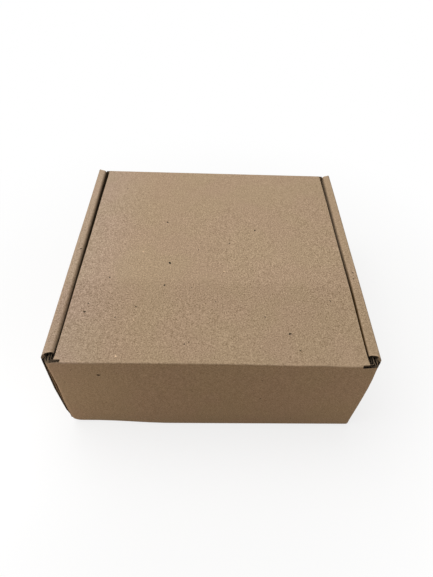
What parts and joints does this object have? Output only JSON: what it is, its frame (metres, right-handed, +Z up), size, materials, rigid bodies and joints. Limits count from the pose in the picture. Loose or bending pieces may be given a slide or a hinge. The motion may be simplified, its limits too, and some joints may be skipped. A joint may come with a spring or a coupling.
{
  "type": "shipping box",
  "caption": "Low square shipping box folded from one sheet of kraft corrugated board, with rolled double side walls and an outside front flap whose ears slide into them.",
  "frame": {"origin": "on the ground under the middle of the closed box", "axes": "+X across the box from one rolled side wall to the other, +Y from the front flap to the back wall, +Z up"},
  "size_m": [0.204, 0.195, 0.0836],
  "materials": {
    "kraft_board": "matte"
  },
  "bodies": {
    "carton": {"carton": "kraft_board"},
    "front_flap": {"front_flap": "kraft_board"}
  },
  "joints": [
    {"name": "flap_fold", "type": "hinge", "parent": "carton", "child": "front_flap", "pos_m": [0, -0.09599, 0.0822], "axis": [-1, 0, 0], "range_deg": [0, 110]}
  ]
}
